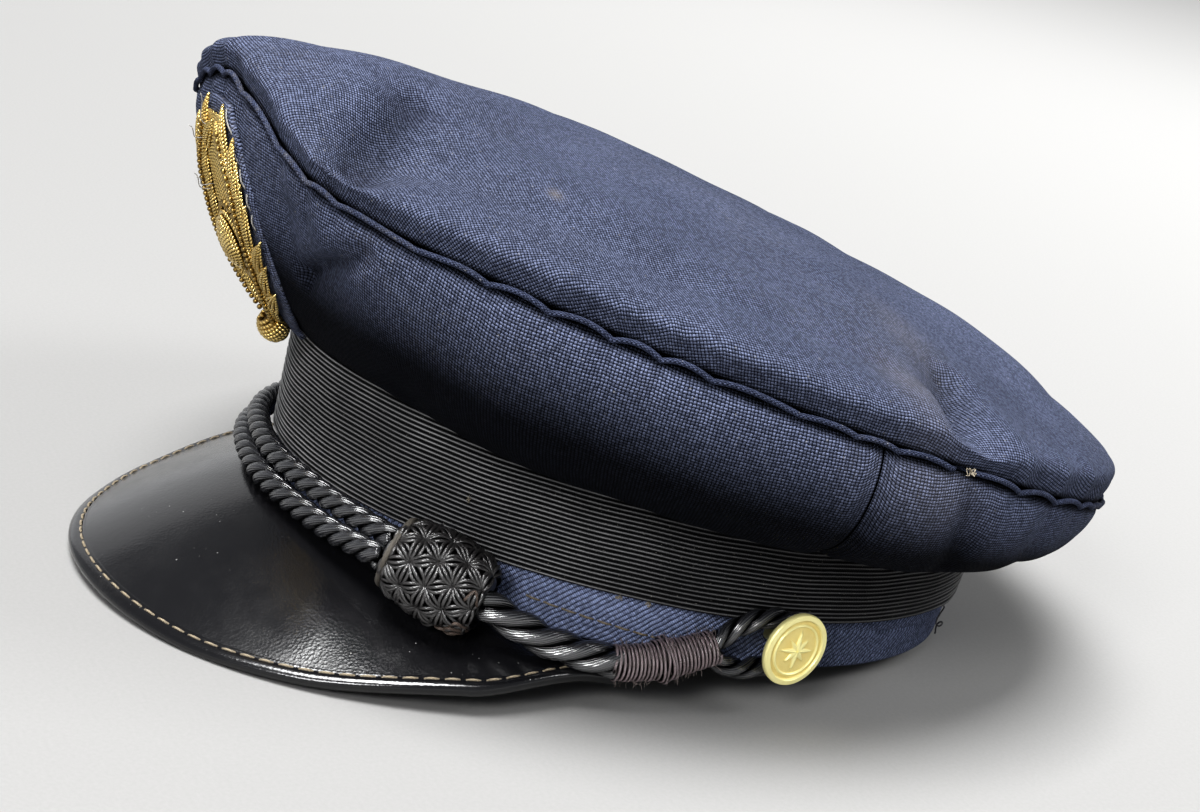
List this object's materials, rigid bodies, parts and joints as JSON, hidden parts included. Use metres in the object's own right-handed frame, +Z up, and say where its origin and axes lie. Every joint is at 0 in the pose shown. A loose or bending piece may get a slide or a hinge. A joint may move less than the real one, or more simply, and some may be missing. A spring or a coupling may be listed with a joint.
{
  "type": "pilot cap",
  "caption": "Peaked uniform cap with a puffed navy cloth crown, ribbed black braid, glossy black peak, knotted chin cord, gilt side buttons and a gold wire badge.",
  "frame": {"origin": "centre of the bounding box on the floor, with the cap resting by itself on the rear of its rim and on its peak", "axes": "+Z up, -Y towards the peak, +X towards the wearer's left"},
  "size_m": [0.2514, 0.2842, 0.1408],
  "materials": {
    "navy_cloth": "matt coarse plain weave",
    "braid": "ribbed, dull silky",
    "gloss_leather": "glossy",
    "cord": "twisted, silky",
    "thread": "fuzzy thread",
    "gold_wire": "coiled wire, slightly dulled",
    "gilt": "polished gilt"
  },
  "bodies": {
    "root": {"base_band": "navy_cloth", "braid_band": "braid", "crown_front_panel": "navy_cloth", "crown_rear_panel": "navy_cloth", "crown_top": "navy_cloth", "crown_piping": "navy_cloth", "peak": "gloss_leather", "peak_binding": "gloss_leather", "badge_backing": "navy_cloth", "badge_spray_left": "gold_wire", "badge_spray_right": "gold_wire", "badge_boss": "gold_wire", "cord_upper": "cord", "cord_lower": "cord", "knot_left": "cord", "knot_right": "cord", "cord_end_left": "cord", "cord_end_right": "cord", "whipping_left": "thread", "whipping_right": "thread", "cord_loop_left": "cord", "cord_loop_right": "cord", "button_left": "gilt", "button_right": "gilt"}
  },
  "joints": []
}
